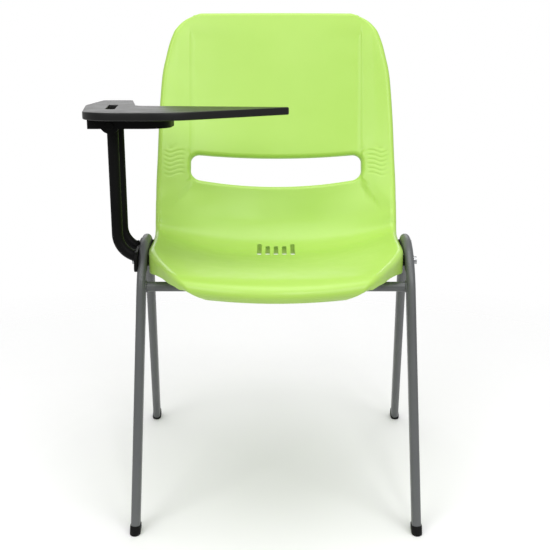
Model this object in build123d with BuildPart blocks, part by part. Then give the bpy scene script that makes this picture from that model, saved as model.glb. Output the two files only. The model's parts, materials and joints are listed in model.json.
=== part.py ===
from build123d import *
import os
from math import atan, cos, hypot, pi, sin

os.makedirs("parts", exist_ok=True)

# A student desk chair: a one-piece plastic shell hung between two tubular side frames, with a writing
# tablet that flips up on an arm. Left and right are the sitter's; the sitter faces -Y, so right is -X.
# Sizes are millimetres. Places are given on the chair's own axes: X across from the middle of the seat,
# Y back from the toes of the front feet, Z up from the floor. The part's origin is under the middle of
# its box.
MIDDLE_X = 29.2
TOES_Y = -216.7
LEFT, RIGHT = 1, -1

# ---- seat shell ----
SHELL_THICKNESS = 4.0
ROLL_RADIUS = 8.0            # where the sitting surface turns over into the side flanges
DISH_POWER = 2.4             # how late the sitting surface rises towards its sides
# Stations along the middle of the shell, from the lip under the knees to the top of the back:
# y, z, half width, rise of the sides, flange depth, how far the sides stand behind the middle.
STATIONS = [
    (-68, 421.5, 112, 1, 10, 26),
    (-75.5, 432, 131, 1, 11, 26),
    (-69, 444.5, 142, 1, 14, 25),
    (-50, 451, 152.5, 2, 16, 22),
    (-20, 452, 164, 3, 18, 14),
    (20, 450, 177, 6, 20, 6),
    (60, 446, 192, 12, 25, 1),
    (110, 440, 209.5, 25, 38, 0),
    (170, 433, 213.2, 35, 43, 0),
    (230, 426, 217.2, 42, 45, 0),
    (268, 427, 219.5, 46, 42, 0),
    (300, 440, 221, 52, 34, 0),
    (323, 466, 221.5, 56, 28, 0),
    (338, 500, 222, 50, 24, 0),
    (350, 535, 222.5, 42, 22, 0),
    (366, 587, 221.8, 33, 20, 0),
    (385, 655, 220, 27, 18, 0),
    (403, 730, 215, 22, 17, 0),
    (412, 770, 207.5, 19, 16, 0),
    (419, 802, 199.5, 16, 15, 0),
    (424.5, 826, 187.5, 13, 13, 0),
    (428.5, 842, 169.5, 10, 12, 0),
    (431, 852.5, 141, 7, 11, 0),
]
SKIN_STEPS = {"rows": 3, "pan": 12, "roll": 5, "flange": 3, "along": 0.02}
OPENING = {"x": 322, "z": 50, "middle_z": 558.5, "corner": 16, "from_y": 250, "through": 250}
DRAIN = {
    "count": 5, "pitch": 15.2, "x": 7.7, "y": 54, "middle_y": 260, "corner": 3.55,
    "from_z": 390, "through": 80,
}
RIB = {"x": 100, "y": 3, "middle_y": 292, "bottom": 414, "top": 434}

# ---- tubular frame ----
TUBE_ACROSS = 15.0           # flat-oval tube, flat sides facing in and out
TUBE_DEEP = 30.0
TUBE_WALL = 1.8
BEND_RADIUS = 75.0
FEET_X = 233.7               # half the width between the side frames, at the toes of the front feet
SPREAD_BACK = 0.0594         # the side frames stand further apart towards the back ...
LEAN_IN = 0.045              # ... and lean in towards the top
KNEE_Z = 458.0
FRONT_FOOT_Y, REAR_FOOT_Y = 17.0, 490.0
FRONT_KNEE_Y, REAR_KNEE_Y = 104.0, 225.0
CAP_WALL, CAP_FLOOR, CAP_HEIGHT = 1.4, 10.0, 14.0
CROSSBAR_RADIUS, CROSSBAR_WALL = 8.0, 1.5
FRONT_BAR_YZ = (93.7, 404.0)
REAR_BAR_YZ = (252.8, 410.0)

# ---- bolts that hang the shell between the side frames ----
BOLT_YZS = ((128.0, 440.0), (215.0, 449.0))
BOLT_RADIUS, BOLT_HOLE_RADIUS = 3.95, 4.2
BOLT_TIP = 2.0               # how far the bolts pass their nuts
BOLT_HEAD = {"radius": 6.5, "height": 4.2, "socket": 5.0, "socket_depth": 2.4}
WASHER = {"radius": 8.0, "thickness": 1.5}
SPACER = {"radius": 9.0, "thickness": 2.0}
NUT = {"across_flats": 13.0, "height": 6.5, "slack": 1.6, "clearance": 0.03}

# ---- tablet arm ----
PLATE = {
    "y": 136.0, "z": 34.0, "middle_y": 160.0, "middle_z": 443.0,
    "thickness": 5.0, "corner": 12.0, "edge": 1.2,
}
POST_RADIUS, POST_WALL, POST_BEND = 9.0, 1.6, 38.0
POST_X = -260.0
POST_YS = (112.0, 164.0)
POST_KNEE_Z = (464.0, 467.0)
STUB_REACH, STUB_DROP = 36.0, 16.8
HINGE_Z = 665.0
BARREL_RADIUS, BARREL_LENGTH = 8.5, 86.0
PIN_RADIUS, PIN_CLEARANCE = 4.0, 0.06
HINGE_Y = sum(POST_YS) / 2

# ---- tablet and the pressed carrier under it ----
TABLET_BOTTOM, TABLET_THICKNESS = 678.0, 12.0
TABLET_EDGE = 2.0
CARRIER_METAL = 3.0
CARRIER_X = (-295.0, -168.0)
CARRIER_LENGTH = 100.0
CARRIER_BOTTOM = 660.0
CARRIER_CORNERS = {"front": 40.0, "back": 25.0}
EAR_RADIUS, EAR_Z = 16.0, 668.5
STOP_GAP = 0.3
SCREW = {"radius": 2.0, "head_radius": 4.0, "head_height": 2.4, "bite": 9.0}
SCREW_XS, SCREW_YS = (-227.0, -192.0), (103.0, 173.0)


# ---- places and planes ----
def place(x, y, z):
    """A point given on the chair's own axes."""
    return Vector(x + MIDDLE_X, y + TOES_Y, z)


def level(z):
    """A horizontal plane whose sketches read in the chair's X and Y."""
    return Plane(origin=place(0, 0, z), x_dir=(1, 0, 0), z_dir=(0, 0, 1))


def upright(y):
    """A plane across the chair whose sketches read in X and Z; it faces the front."""
    return Plane(origin=place(0, y, 0), x_dir=(1, 0, 0), z_dir=(0, -1, 0))


def frame_x(side, y, z, outward=0.0):
    """X of a side frame's middle plane at (y, z), or of a plane that far outward of it."""
    return side * (FEET_X + SPREAD_BACK * y - LEAN_IN * z + outward)


def on_frame(side, y, z, outward=0.0):
    return place(frame_x(side, y, z, outward), y, z)


def out_of_frame(side):
    """The direction square to a side frame, pointing away from the sitter."""
    return Vector(side, -SPREAD_BACK, LEAN_IN).normalized()


def frame_plane(side, y, z, outward=0.0):
    """A plane along a side frame, facing outward, with its sketch X along the chair's depth."""
    along = Vector(side * SPREAD_BACK, 1, 0).normalized()
    return Plane(origin=on_frame(side, y, z, outward), x_dir=along, z_dir=out_of_frame(side))


# ---- the seat shell's surface ----
def eased(values, t):
    """Smooth run through evenly spaced values; t counts stations."""
    i = min(int(t), len(values) - 2)
    f = t - i

    def slope(k):
        low, high = max(k - 1, 0), min(k + 1, len(values) - 1)
        return (values[high] - values[low]) / (high - low)

    a, b, m, n = values[i], values[i + 1], slope(i), slope(i + 1)
    return (
        (2 * f**3 - 3 * f**2 + 1) * a
        + (f**3 - 2 * f**2 + f) * m
        + (3 * f**2 - 2 * f**3) * b
        + (f**3 - f**2) * n
    )


COLUMNS = list(zip(*STATIONS))
LAST = len(STATIONS) - 1


def across_shell(t, depth):
    """Points across the shell at station t, that far behind its sitting surface."""
    y, z, half, dish, flange, swept = [eased(column, t) for column in COLUMNS]
    before, after = max(t - SKIN_STEPS["along"], 0), min(t + SKIN_STEPS["along"], LAST)
    run_y = eased(COLUMNS[0], after) - eased(COLUMNS[0], before)
    run_z = eased(COLUMNS[1], after) - eased(COLUMNS[1], before)
    run = hypot(run_y, run_z)
    up_y, up_z = -run_z / run, run_y / run

    def rise(x):
        return dish * (x / half) ** DISH_POWER

    def slope(x):
        return atan(DISH_POWER * dish / half * (x / half) ** (DISH_POWER - 1))

    roll_x = half - ROLL_RADIUS * (1 + sin(atan(DISH_POWER * dish / half)))
    section = []
    for k in range(SKIN_STEPS["pan"] + 1):
        x = roll_x * k / SKIN_STEPS["pan"]
        section.append((x + depth * sin(slope(x)), rise(x) - depth * cos(slope(x))))
    lean = slope(roll_x)
    roll_middle = (roll_x + ROLL_RADIUS * sin(lean), rise(roll_x) - ROLL_RADIUS * cos(lean))
    for k in range(1, SKIN_STEPS["roll"] + 1):
        turn = (pi / 2 + lean) * (1 - k / SKIN_STEPS["roll"])
        section.append(
            (
                roll_middle[0] + (ROLL_RADIUS - depth) * cos(turn),
                roll_middle[1] + (ROLL_RADIUS - depth) * sin(turn),
            )
        )
    for k in range(1, SKIN_STEPS["flange"] + 1):
        reach = (flange - ROLL_RADIUS) * k / SKIN_STEPS["flange"]
        section.append((section[-1][0], roll_middle[1] - reach))
    half_row = [
        place(x, y + up_y * h + swept * (x / half) ** 2, z + up_z * h) for x, h in section
    ]
    mirrored = [Vector(2 * MIDDLE_X - p.X, p.Y, p.Z) for p in reversed(half_row[1:])]
    return mirrored + half_row


def skin(depth):
    """One face of the shell, through a few rows of points for each station."""
    per_station = SKIN_STEPS["rows"]
    rows = [across_shell(step / per_station, depth) for step in range(per_station * LAST + 1)]
    return Face.make_surface_from_array_of_points(rows, tol=0.05)


def rim(front, back):
    """The ruled strips that close the edge between the shell's two faces."""
    strips = []
    for edge in front.edges():
        partner = back.edges().sort_by_distance(edge.position_at(0.5))[0]
        strips.append(Face.make_surface_from_curves(edge, partner))
    return strips


with BuildPart() as seat_shell:
    sitting, behind = skin(0), skin(SHELL_THICKNESS)
    add(Solid(Shell([sitting, behind] + rim(sitting, behind))))
    with BuildSketch(level(RIB["bottom"])):
        with Locations((0, RIB["middle_y"])):
            Rectangle(RIB["x"], RIB["y"])
    extrude(amount=RIB["top"] - RIB["bottom"])
    with BuildSketch(upright(OPENING["from_y"])):
        with Locations((0, OPENING["middle_z"])):
            RectangleRounded(OPENING["x"], OPENING["z"], OPENING["corner"])
    extrude(amount=-OPENING["through"], mode=Mode.SUBTRACT)
    with BuildSketch(level(DRAIN["from_z"])):
        with Locations((0, DRAIN["middle_y"])):
            with GridLocations(DRAIN["pitch"], 0, DRAIN["count"], 1):
                RectangleRounded(DRAIN["x"], DRAIN["y"], DRAIN["corner"])
    extrude(amount=DRAIN["through"], mode=Mode.SUBTRACT)
    for side in (LEFT, RIGHT):
        for y, z in BOLT_YZS:
            with BuildSketch(frame_plane(side, y, z, -2 * TUBE_ACROSS)):
                Circle(BOLT_HOLE_RADIUS)
            extrude(amount=2 * TUBE_ACROSS, mode=Mode.SUBTRACT)
seat_shell.part.label = "seat_shell"
export_step(seat_shell.part, "parts/seat_shell.step")


# ---- side frames ----
def leg_y(foot_y, knee_y, z):
    """Y of a leg's centreline at height z."""
    return foot_y + (knee_y - foot_y) * z / KNEE_Z


def arch_line(side):
    """The centreline of one side frame: up the front leg, over the top and down the rear leg."""
    with BuildLine() as line:
        FilletPolyline(
            on_frame(side, leg_y(FRONT_FOOT_Y, FRONT_KNEE_Y, CAP_FLOOR), CAP_FLOOR),
            on_frame(side, FRONT_KNEE_Y, KNEE_Z),
            on_frame(side, REAR_KNEE_Y, KNEE_Z),
            on_frame(side, leg_y(REAR_FOOT_Y, REAR_KNEE_Y, CAP_FLOOR), CAP_FLOOR),
            radius=BEND_RADIUS,
        )
    return line.line


def arch(side, wall=None):
    """A side frame's tube: solid for cutting what is welded to it, hollow if it is given a wall."""
    line = arch_line(side)
    with BuildPart() as tube:
        with BuildSketch(Plane(origin=line @ 0, x_dir=out_of_frame(side), z_dir=line % 0)):
            SlotOverall(TUBE_DEEP, TUBE_ACROSS, rotation=90)
            if wall:
                SlotOverall(TUBE_DEEP - 2 * wall, TUBE_ACROSS - 2 * wall, rotation=90, mode=Mode.SUBTRACT)
        sweep(path=line)
    return tube.part


solid_arch = {side: arch(side) for side in (LEFT, RIGHT)}

for side, name in ((LEFT, "left_side_frame"), (RIGHT, "right_side_frame")):
    with BuildPart() as side_frame:
        add(arch(side, TUBE_WALL))
        for y, z in BOLT_YZS:
            with BuildSketch(frame_plane(side, y, z)):
                Circle(BOLT_HOLE_RADIUS)
            extrude(amount=TUBE_ACROSS, both=True, mode=Mode.SUBTRACT)
    side_frame.part.label = name
    export_step(side_frame.part, f"parts/{name}.step")


# ---- crossbars, coped to the side frames ----
for name, (y, z) in (("front_crossbar", FRONT_BAR_YZ), ("rear_crossbar", REAR_BAR_YZ)):
    with BuildPart() as crossbar:
        with BuildSketch(Plane(origin=place(0, y, z), x_dir=(0, 1, 0), z_dir=(1, 0, 0))):
            Circle(CROSSBAR_RADIUS)
            Circle(CROSSBAR_RADIUS - CROSSBAR_WALL, mode=Mode.SUBTRACT)
        extrude(amount=frame_x(LEFT, y, z), both=True)
        for side in (LEFT, RIGHT):
            add(solid_arch[side], mode=Mode.SUBTRACT)
    crossbar.part.label = name
    export_step(crossbar.part, f"parts/{name}.step")


# ---- foot caps: a cup around each leg's end, cut level with the floor ----
LEGS = {
    "front_left_foot": (LEFT, FRONT_FOOT_Y, FRONT_KNEE_Y),
    "front_right_foot": (RIGHT, FRONT_FOOT_Y, FRONT_KNEE_Y),
    "rear_left_foot": (LEFT, REAR_FOOT_Y, REAR_KNEE_Y),
    "rear_right_foot": (RIGHT, REAR_FOOT_Y, REAR_KNEE_Y),
}
for name, (side, foot_y, knee_y) in LEGS.items():
    foot = on_frame(side, foot_y, 0)
    up_leg = (on_frame(side, knee_y, KNEE_Z) - foot).normalized()
    with BuildPart() as foot_cap:
        with BuildSketch(Plane(origin=foot, x_dir=out_of_frame(side), z_dir=up_leg)):
            SlotOverall(TUBE_DEEP + 2 * CAP_WALL, TUBE_ACROSS + 2 * CAP_WALL, rotation=90)
        extrude(amount=CAP_HEIGHT, both=True)
        split(bisect_by=level(0), keep=Keep.TOP)
        add(solid_arch[side], mode=Mode.SUBTRACT)
    foot_cap.part.label = name
    export_step(foot_cap.part, f"parts/{name}.step")


# ---- what holds the shell: washer, bolt, spacer and nut at each of four places ----
OUTER_FACE = TUBE_ACROSS / 2
PLATE_STACK = {LEFT: 0.0, RIGHT: PLATE["thickness"]}
SPACER_FACE = -TUBE_ACROSS / 2 - SPACER["thickness"]
NUT_FACE = SPACER_FACE - SHELL_THICKNESS - NUT["slack"]


def disc(plane, radius, bore=0.0):
    """A round sketch, with a hole in it if it has a bore."""
    with BuildSketch(plane) as outline:
        Circle(radius)
        if bore:
            Circle(bore, mode=Mode.SUBTRACT)
    return outline.sketch


def bolt_plane(side, place_yz, outward):
    """The plane square to the bolt at that Y and Z, that far outward of the side frame's middle."""
    return frame_plane(side, *place_yz).offset(outward)


for name, side in (("shell_bolts", LEFT), ("arm_bolts", RIGHT)):
    head_face = OUTER_FACE + PLATE_STACK[side] + WASHER["thickness"]
    tip_face = NUT_FACE - NUT["height"] - BOLT_TIP
    with BuildPart() as bolts:
        for yz in BOLT_YZS:
            extrude(disc(bolt_plane(side, yz, tip_face), BOLT_RADIUS), amount=head_face - tip_face)
            extrude(disc(bolt_plane(side, yz, head_face), BOLT_HEAD["radius"]), amount=BOLT_HEAD["height"])
            with BuildSketch(bolt_plane(side, yz, head_face + BOLT_HEAD["height"])):
                RegularPolygon(BOLT_HEAD["socket"] / 2, 6, major_radius=False)
            extrude(amount=-BOLT_HEAD["socket_depth"], mode=Mode.SUBTRACT)
    bolts.part.label = name
    export_step(bolts.part, f"parts/{name}.step")

with BuildPart() as bolt_washers:
    for side in (LEFT, RIGHT):
        for yz in BOLT_YZS:
            under_head = bolt_plane(side, yz, OUTER_FACE + PLATE_STACK[side])
            extrude(disc(under_head, WASHER["radius"], BOLT_HOLE_RADIUS), amount=WASHER["thickness"])
bolt_washers.part.label = "bolt_washers"
export_step(bolt_washers.part, "parts/bolt_washers.step")

with BuildPart() as shell_spacers:
    for side in (LEFT, RIGHT):
        for yz in BOLT_YZS:
            by_shell = bolt_plane(side, yz, SPACER_FACE)
            extrude(disc(by_shell, SPACER["radius"], BOLT_HOLE_RADIUS), amount=SPACER["thickness"])
shell_spacers.part.label = "shell_spacers"
export_step(shell_spacers.part, "parts/shell_spacers.step")

with BuildPart() as shell_nuts:
    for side in (LEFT, RIGHT):
        for yz in BOLT_YZS:
            with BuildSketch(bolt_plane(side, yz, NUT_FACE - NUT["height"])):
                RegularPolygon(NUT["across_flats"] / 2, 6, major_radius=False)
                Circle(BOLT_RADIUS + NUT["clearance"], mode=Mode.SUBTRACT)
            extrude(amount=NUT["height"])
shell_nuts.part.label = "shell_nuts"
export_step(shell_nuts.part, "parts/shell_nuts.step")


# ---- arm: plate on the right side frame, two bent posts, hinge barrel and the tablet's stop ----
plate_plane = frame_plane(RIGHT, PLATE["middle_y"], PLATE["middle_z"]).offset(OUTER_FACE)
with BuildPart() as arm_plate:
    with BuildSketch(plate_plane):
        RectangleRounded(PLATE["y"], PLATE["z"], PLATE["corner"])
    extrude(amount=PLATE["thickness"])
    fillet(arm_plate.faces().sort_by(Axis.X)[0].edges(), radius=PLATE["edge"])
    for y, z in BOLT_YZS:
        with BuildSketch(frame_plane(RIGHT, y, z)):
            Circle(BOLT_HOLE_RADIUS)
        extrude(amount=TUBE_ACROSS, mode=Mode.SUBTRACT)
arm_plate.part.label = "arm_plate"
export_step(arm_plate.part, "parts/arm_plate.step")

for name, y, knee_z in zip(("front_arm_post", "rear_arm_post"), POST_YS, POST_KNEE_Z):
    with BuildPart() as arm_post:
        with BuildLine() as post_line:
            FilletPolyline(
                place(POST_X, y, HINGE_Z),
                place(POST_X, y, knee_z),
                place(POST_X + STUB_REACH, y, knee_z - STUB_DROP),
                radius=POST_BEND,
            )
        with BuildSketch(Plane(origin=post_line.line @ 0, x_dir=(1, 0, 0), z_dir=(0, 0, -1))):
            Circle(POST_RADIUS)
            Circle(POST_RADIUS - POST_WALL, mode=Mode.SUBTRACT)
        sweep(path=post_line.line)
        split(bisect_by=plate_plane.offset(PLATE["thickness"]), keep=Keep.TOP)
        with BuildSketch(upright(HINGE_Y)):
            with Locations((POST_X, HINGE_Z)):
                Circle(BARREL_RADIUS)
        extrude(amount=BARREL_LENGTH, both=True, mode=Mode.SUBTRACT)
        with BuildSketch(level(HINGE_Z)):
            with Locations((POST_X, y)):
                Circle(2 * POST_RADIUS)
        extrude(amount=POST_RADIUS, mode=Mode.SUBTRACT)
    arm_post.part.label = name
    export_step(arm_post.part, f"parts/{name}.step")

with BuildPart() as hinge_barrel:
    with BuildSketch(upright(HINGE_Y)):
        with Locations((POST_X, HINGE_Z)):
            Circle(BARREL_RADIUS)
            Circle(PIN_RADIUS + PIN_CLEARANCE, mode=Mode.SUBTRACT)
    extrude(amount=BARREL_LENGTH / 2, both=True)
hinge_barrel.part.label = "hinge_barrel"
export_step(hinge_barrel.part, "parts/hinge_barrel.step")

CARRIER_TOP = TABLET_BOTTOM
STOP_TOP = CARRIER_TOP - CARRIER_METAL - STOP_GAP
STOP_REACH, STOP_LIP, STOP_HALF_WIDTH = 36.0, 5.0, 12.0
with BuildPart() as stop_bracket:
    with BuildSketch(upright(HINGE_Y)):
        with BuildLine():
            Polyline(
                (POST_X, STOP_TOP),
                (POST_X + STOP_REACH, STOP_TOP),
                (POST_X + STOP_REACH, STOP_TOP - STOP_LIP),
                (POST_X, HINGE_Z - BARREL_RADIUS),
                close=True,
            )
        make_face()
    extrude(amount=STOP_HALF_WIDTH, both=True)
    with BuildSketch(upright(HINGE_Y)):
        with Locations((POST_X, HINGE_Z)):
            Circle(BARREL_RADIUS)
        with Locations((POST_X - BARREL_RADIUS, HINGE_Z)):
            Rectangle(2 * BARREL_RADIUS, 4 * BARREL_RADIUS)
    extrude(amount=STOP_HALF_WIDTH, both=True, mode=Mode.SUBTRACT)
stop_bracket.part.label = "stop_bracket"
export_step(stop_bracket.part, "parts/stop_bracket.step")


# ---- the parts that turn with the tablet ----
CARRIER_FRONT = HINGE_Y - CARRIER_LENGTH / 2
CARRIER_BACK = HINGE_Y + CARRIER_LENGTH / 2
EAR_GAP = (CARRIER_LENGTH - 2 * CARRIER_METAL - BARREL_LENGTH) / 2


def tray(z, inset, past_end=0.0):
    """The carrier's outline at height z, moved in by inset and carried past its open outer end."""
    front, back, inner_end = CARRIER_FRONT + inset, CARRIER_BACK - inset, CARRIER_X[1] - inset
    with BuildSketch(level(z)) as outline:
        with BuildLine():
            FilletPolyline(
                (CARRIER_X[0] - past_end, front),
                (inner_end, front),
                (inner_end, back),
                (CARRIER_X[0] - past_end, back),
                radius=[0, CARRIER_CORNERS["front"] - inset, CARRIER_CORNERS["back"] - inset, 0],
                close=True,
            )
        make_face()
    return outline.sketch


with BuildPart() as tablet_carrier:
    extrude(tray(CARRIER_BOTTOM, 0), amount=CARRIER_TOP - CARRIER_BOTTOM)
    with BuildSketch(upright(HINGE_Y)):
        with Locations((POST_X, EAR_Z)):
            Circle(EAR_RADIUS)
        with Locations((POST_X, CARRIER_TOP + EAR_RADIUS)):
            Rectangle(3 * EAR_RADIUS, 2 * EAR_RADIUS, mode=Mode.SUBTRACT)
    extrude(amount=CARRIER_LENGTH / 2, both=True)
    below_ears = EAR_Z - 2 * EAR_RADIUS
    extrude(
        tray(below_ears, CARRIER_METAL, EAR_RADIUS),
        amount=CARRIER_TOP - CARRIER_METAL - below_ears,
        mode=Mode.SUBTRACT,
    )
    with BuildSketch(upright(HINGE_Y)):
        with Locations((POST_X, HINGE_Z)):
            Circle(PIN_RADIUS + PIN_CLEARANCE)
    extrude(amount=CARRIER_LENGTH, both=True, mode=Mode.SUBTRACT)
    with BuildSketch(level(CARRIER_TOP)):
        for x in SCREW_XS:
            with Locations(*[(x, y) for y in SCREW_YS]):
                Circle(SCREW["radius"] + 0.2)
    extrude(amount=-2 * CARRIER_METAL, mode=Mode.SUBTRACT)
tablet_carrier.part.label = "tablet_carrier"
export_step(tablet_carrier.part, "parts/tablet_carrier.step")

PIN_HEAD = {"radius": 6.5, "height": 2.5}
PIN_END = 5.0                # how far the pin passes the carrier's back ear
CLIP = {"radius": 6.8, "height": 1.4, "groove": 0.7, "beyond": 0.8}
with BuildPart() as hinge_pin:
    with BuildSketch(upright(CARRIER_FRONT)):
        with Locations((POST_X, HINGE_Z)):
            Circle(PIN_HEAD["radius"])
    extrude(amount=PIN_HEAD["height"])
    fillet(hinge_pin.edges().sort_by(Axis.Y)[0], radius=1)
    with BuildSketch(upright(CARRIER_FRONT)):
        with Locations((POST_X, HINGE_Z)):
            Circle(PIN_RADIUS)
    extrude(amount=-(CARRIER_LENGTH + PIN_END))
    with BuildSketch(upright(CARRIER_BACK + CLIP["beyond"])):
        with Locations((POST_X, HINGE_Z)):
            Circle(2 * PIN_RADIUS)
            Circle(PIN_RADIUS - CLIP["groove"], mode=Mode.SUBTRACT)
    extrude(amount=-CLIP["height"], mode=Mode.SUBTRACT)
hinge_pin.part.label = "hinge_pin"
export_step(hinge_pin.part, "parts/hinge_pin.step")

with BuildPart() as pin_clip:
    with BuildSketch(upright(CARRIER_BACK + CLIP["beyond"])):
        with Locations((POST_X, HINGE_Z)):
            Circle(CLIP["radius"])
            Circle(PIN_RADIUS - CLIP["groove"], mode=Mode.SUBTRACT)
        with Locations((POST_X, HINGE_Z - CLIP["radius"])):
            Rectangle(1.4 * PIN_RADIUS, 2 * CLIP["radius"], mode=Mode.SUBTRACT)
    extrude(amount=-CLIP["height"])
pin_clip.part.label = "pin_clip"
export_step(pin_clip.part, "parts/pin_clip.step")

WASHER_SLACK = 0.3
with BuildPart() as hinge_washers:
    for ear_face in (CARRIER_FRONT + EAR_GAP + CARRIER_METAL - WASHER_SLACK, CARRIER_BACK - CARRIER_METAL):
        with BuildSketch(upright(ear_face)):
            with Locations((POST_X, HINGE_Z)):
                Circle(BARREL_RADIUS)
                Circle(PIN_RADIUS + 0.1, mode=Mode.SUBTRACT)
        extrude(amount=EAR_GAP - WASHER_SLACK)
hinge_washers.part.label = "hinge_washers"
export_step(hinge_washers.part, "parts/hinge_washers.step")

with BuildPart() as tablet_screws:
    for x in SCREW_XS:
        for y in SCREW_YS:
            with BuildSketch(level(CARRIER_TOP - CARRIER_METAL - SCREW["head_height"])):
                with Locations((x, y)):
                    Circle(SCREW["head_radius"])
            extrude(amount=SCREW["head_height"])
            with BuildSketch(level(CARRIER_TOP - CARRIER_METAL)):
                with Locations((x, y)):
                    Circle(SCREW["radius"])
            extrude(amount=CARRIER_METAL + SCREW["bite"])
tablet_screws.part.label = "tablet_screws"
export_step(tablet_screws.part, "parts/tablet_screws.step")

# The tablet's outline: a paddle that narrows towards the left, with a tail for the forearm at the back.
# Each corner is x, y and the radius that rounds it.
TABLET_OUTLINE = [
    (-284, 2, 60),
    (-150, 0, 100),
    (31, 163, 8),
    (-194, 197, 500),
    (-236, 203, 30),
    (-274, 408, 8),
    (-331, 408, 14),
    (-326, 225, 200),
]
TABLET_SLOT = [(-268, 98), (-253, 98), (-271, 230), (-287, 230)]
with BuildPart() as tablet_top:
    with BuildSketch(level(TABLET_BOTTOM)):
        with BuildLine():
            FilletPolyline(
                *[(x, y) for x, y, _ in TABLET_OUTLINE],
                radius=[radius for _, _, radius in TABLET_OUTLINE],
                close=True,
            )
        make_face()
    extrude(amount=TABLET_THICKNESS)
    fillet(tablet_top.faces().sort_by(Axis.Z)[-1].edges(), radius=TABLET_EDGE)
    fillet(tablet_top.faces().sort_by(Axis.Z)[0].edges(), radius=TABLET_EDGE)
    with BuildSketch(level(TABLET_BOTTOM)):
        with BuildLine():
            FilletPolyline(*TABLET_SLOT, radius=2.5, close=True)
        make_face()
    extrude(amount=TABLET_THICKNESS, mode=Mode.SUBTRACT)
    with BuildSketch(level(TABLET_BOTTOM)):
        for x in SCREW_XS:
            with Locations(*[(x, y) for y in SCREW_YS]):
                Circle(SCREW["radius"])
    extrude(amount=SCREW["bite"], mode=Mode.SUBTRACT)
tablet_top.part.label = "tablet_top"
export_step(tablet_top.part, "parts/tablet_top.step")
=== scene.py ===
import json
from math import cos, pi, radians, sin

import bmesh
import bpy
import numpy as np
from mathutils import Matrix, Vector


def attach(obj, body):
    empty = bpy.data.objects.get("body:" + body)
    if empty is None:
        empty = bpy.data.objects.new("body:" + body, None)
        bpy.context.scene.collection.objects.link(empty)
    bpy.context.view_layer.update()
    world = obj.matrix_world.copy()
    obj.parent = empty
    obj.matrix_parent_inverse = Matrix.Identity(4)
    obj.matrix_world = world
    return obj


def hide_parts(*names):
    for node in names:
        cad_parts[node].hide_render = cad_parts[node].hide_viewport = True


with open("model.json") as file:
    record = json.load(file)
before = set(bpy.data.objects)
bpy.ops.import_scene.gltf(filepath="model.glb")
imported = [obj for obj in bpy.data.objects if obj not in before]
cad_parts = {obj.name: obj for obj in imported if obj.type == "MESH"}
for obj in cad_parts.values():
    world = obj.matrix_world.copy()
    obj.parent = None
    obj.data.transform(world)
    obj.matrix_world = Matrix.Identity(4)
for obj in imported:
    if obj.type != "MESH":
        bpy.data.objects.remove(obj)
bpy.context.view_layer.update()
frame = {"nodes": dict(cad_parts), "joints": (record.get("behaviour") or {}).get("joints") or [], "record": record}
MM = 0.001

# Lengths are millimetres on the chair's own axes, as in part.py: X across from the middle of the seat,
# Y back from the toes of the front feet, Z up from the floor. Left and right are the sitter's, so right
# is -X. The hinge, whose place the frame gives, ties these axes to the frame's.
HINGE = Vector(frame["joints"][0]["pos_m"]) / MM
HINGE_X, HINGE_Y, HINGE_Z = -260.0, 138.0, 665.0
MIDDLE_X = HINGE.x - HINGE_X
TOES_Y = HINGE.y - HINGE_Y
LEFT, RIGHT = 1, -1


def place(x, y, z):
    """A point given on the chair's own axes, in millimetres from the frame's origin."""
    return Vector((x + MIDDLE_X, y + TOES_Y, z))


def ease(x, low, high):
    """0 below low, 1 above high, smooth between; low may be above high."""
    f = np.clip((np.asarray(x, float) - low) / (high - low), 0, 1)
    return f * f * (3 - 2 * f)


# ---------------------------------------------------------------- mesh helpers
def mesh_piece(name, points, faces, body, slot, material, sharp=None):
    """A smooth-shaded mesh from points in millimetres, riding on a CAD body."""
    mesh = bpy.data.meshes.new(name)
    mesh.from_pydata([tuple(np.array(p, float) * MM) for p in points], [], faces)
    mesh.validate()
    tidy = bmesh.new()
    tidy.from_mesh(mesh)
    bmesh.ops.recalc_face_normals(tidy, faces=tidy.faces)
    tidy.to_mesh(mesh)
    tidy.free()
    mesh.shade_smooth()
    if sharp:
        mesh.set_sharp_from_angle(angle=radians(sharp))
    mesh.materials.append(material)
    piece = bpy.data.objects.new(name, mesh)
    bpy.context.scene.collection.objects.link(piece)
    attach(piece, body)
    return piece


def rounded(corners, radius, steps):
    """A polyline whose inner corners are rounded to one radius."""
    corners = [Vector(c) for c in corners]
    line = [corners[0]]
    for before, corner, after in zip(corners, corners[1:], corners[2:]):
        line += corner_arc(before, corner, after, radius, steps)
    line.append(corners[-1])
    return line


def corner_arc(before, corner, after, radius, steps):
    """Points of the arc that rounds the corner between two neighbours."""
    to_before, to_after = (before - corner).normalized(), (after - corner).normalized()
    half = to_before.angle(to_after) / 2
    reach = radius / np.tan(half)
    middle = corner + (to_before + to_after).normalized() * radius / sin(half)
    start, end = corner + to_before * reach - middle, corner + to_after * reach - middle
    turn = start.angle(end)
    arc = []
    for k in range(steps + 1):
        a = k / steps
        arc.append(middle + (start * sin((1 - a) * turn) + end * sin(a * turn)) / sin(turn))
    return arc


def tangents(line):
    """The direction of travel at each point of an open line."""
    last = len(line) - 1
    directions = []
    for i in range(last + 1):
        before, after = line[max(i - 1, 0)], line[min(i + 1, last)]
        directions.append((after - before).normalized())
    return directions


def sweep(line, across, section):
    """Points and faces of a tube whose section is (across, deep) pairs, along a flat line."""
    across = Vector(across).normalized()
    rings = []
    for centre, along in zip(line, tangents(line)):
        deep = along.cross(across).normalized()
        rings.append([centre + across * a + deep * b for a, b in section])
    return rings_piece(rings)


def circle(radius, count):
    return [(radius * cos(2 * pi * k / count), radius * sin(2 * pi * k / count)) for k in range(count)]


def oval(across, deep, count):
    """A slot outline, flat on its long sides."""
    radius, straight = across / 2, (deep - across) / 2
    outline = []
    for k in range(count):
        a = 2 * pi * (k + 0.5) / count
        outline.append((radius * cos(a), radius * sin(a) + (straight if sin(a) > 0 else -straight)))
    return outline


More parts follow.
